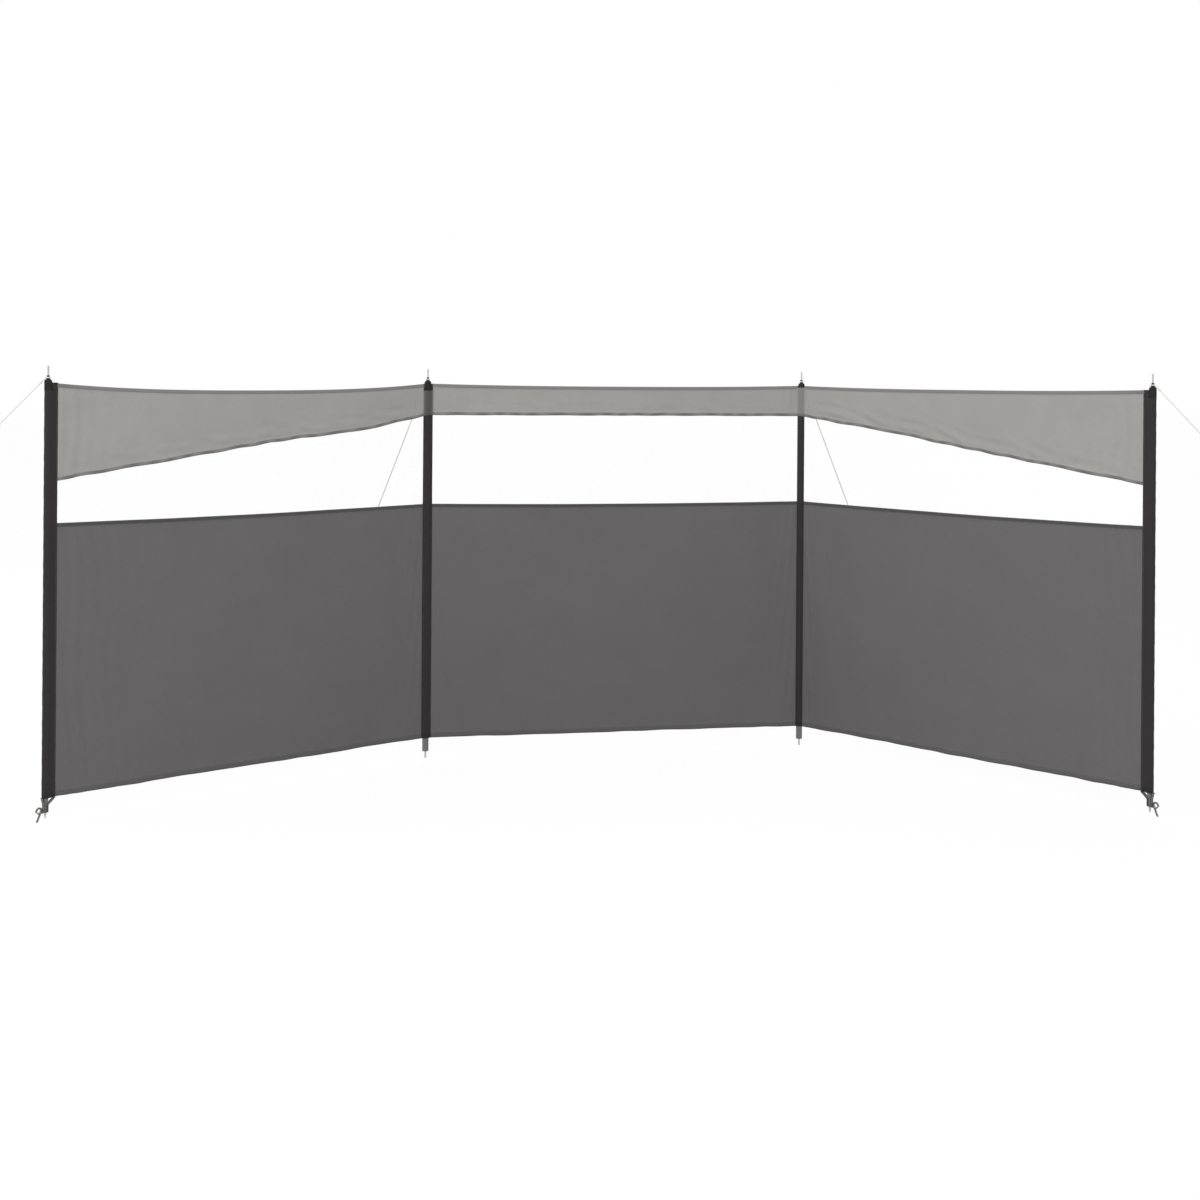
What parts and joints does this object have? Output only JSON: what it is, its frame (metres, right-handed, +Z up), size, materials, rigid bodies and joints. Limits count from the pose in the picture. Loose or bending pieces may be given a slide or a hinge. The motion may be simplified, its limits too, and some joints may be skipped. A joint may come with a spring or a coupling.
{
  "type": "beach windbreak",
  "caption": "Free-standing cloth windbreak folded in bays between upright poles, with clear window strips under tapered top bands, guy ropes and ground pegs.",
  "frame": {"origin": "on the ground, in the flat underside of the left middle pole's foot", "axes": "+X along the middle bay to the right, +Y to the back, away from the sheltered side, +Z up"},
  "size_m": [5.9547, 3.9544, 1.656],
  "materials": {
    "pole_steel": "grey powder-coated steel tube",
    "sleeve_cloth": "black woven polyester, matt",
    "black_plastic": "black moulded plastic",
    "pin_steel": "zinc-plated steel",
    "foot_plastic": "dark grey moulded plastic",
    "guy_rope": "pale braided cord",
    "runner_plastic": "grey moulded plastic",
    "peg_steel": "zinc-plated steel rod",
    "webbing": "black woven webbing",
    "panel_cloth": "dark grey woven polyester, coated behind",
    "clear_film": "clear flexible film",
    "band_cloth": "light grey woven polyester"
  },
  "bodies": {
    "root": {"left_end_pole": "pole_steel", "left_end_sleeve": "sleeve_cloth", "left_end_cap": "black_plastic", "left_end_pin": "pin_steel", "left_end_foot": "foot_plastic", "left_end_spike": "pin_steel", "left_end_guy": "guy_rope", "left_end_guy_runner": "runner_plastic", "left_end_guy_peg": "peg_steel", "left_end_corner_strap": "webbing", "left_end_corner_peg": "peg_steel", "left_middle_pole": "pole_steel", "left_middle_sleeve": "sleeve_cloth", "left_middle_cap": "black_plastic", "left_middle_pin": "pin_steel", "left_middle_foot": "foot_plastic", "left_middle_spike": "pin_steel", "left_middle_guy": "guy_rope", "left_middle_guy_runner": "runner_plastic", "left_middle_guy_peg": "peg_steel", "right_middle_pole": "pole_steel", "right_middle_sleeve": "sleeve_cloth", "right_middle_cap": "black_plastic", "right_middle_pin": "pin_steel", "right_middle_foot": "foot_plastic", "right_middle_spike": "pin_steel", "right_middle_guy": "guy_rope", "right_middle_guy_runner": "runner_plastic", "right_middle_guy_peg": "peg_steel", "right_end_pole": "pole_steel", "right_end_sleeve": "sleeve_cloth", "right_end_cap": "black_plastic", "right_end_pin": "pin_steel", "right_end_foot": "foot_plastic", "right_end_spike": "pin_steel", "right_end_guy": "guy_rope", "right_end_guy_runner": "runner_plastic", "right_end_guy_peg": "peg_steel", "right_end_corner_strap": "webbing", "right_end_corner_peg": "peg_steel", "left_lower_panel": "panel_cloth", "left_window": "clear_film", "left_top_band": "band_cloth", "middle_lower_panel": "panel_cloth", "middle_window": "clear_film", "middle_top_band": "band_cloth", "right_lower_panel": "panel_cloth", "right_window": "clear_film", "right_top_band": "band_cloth"}
  },
  "joints": []
}
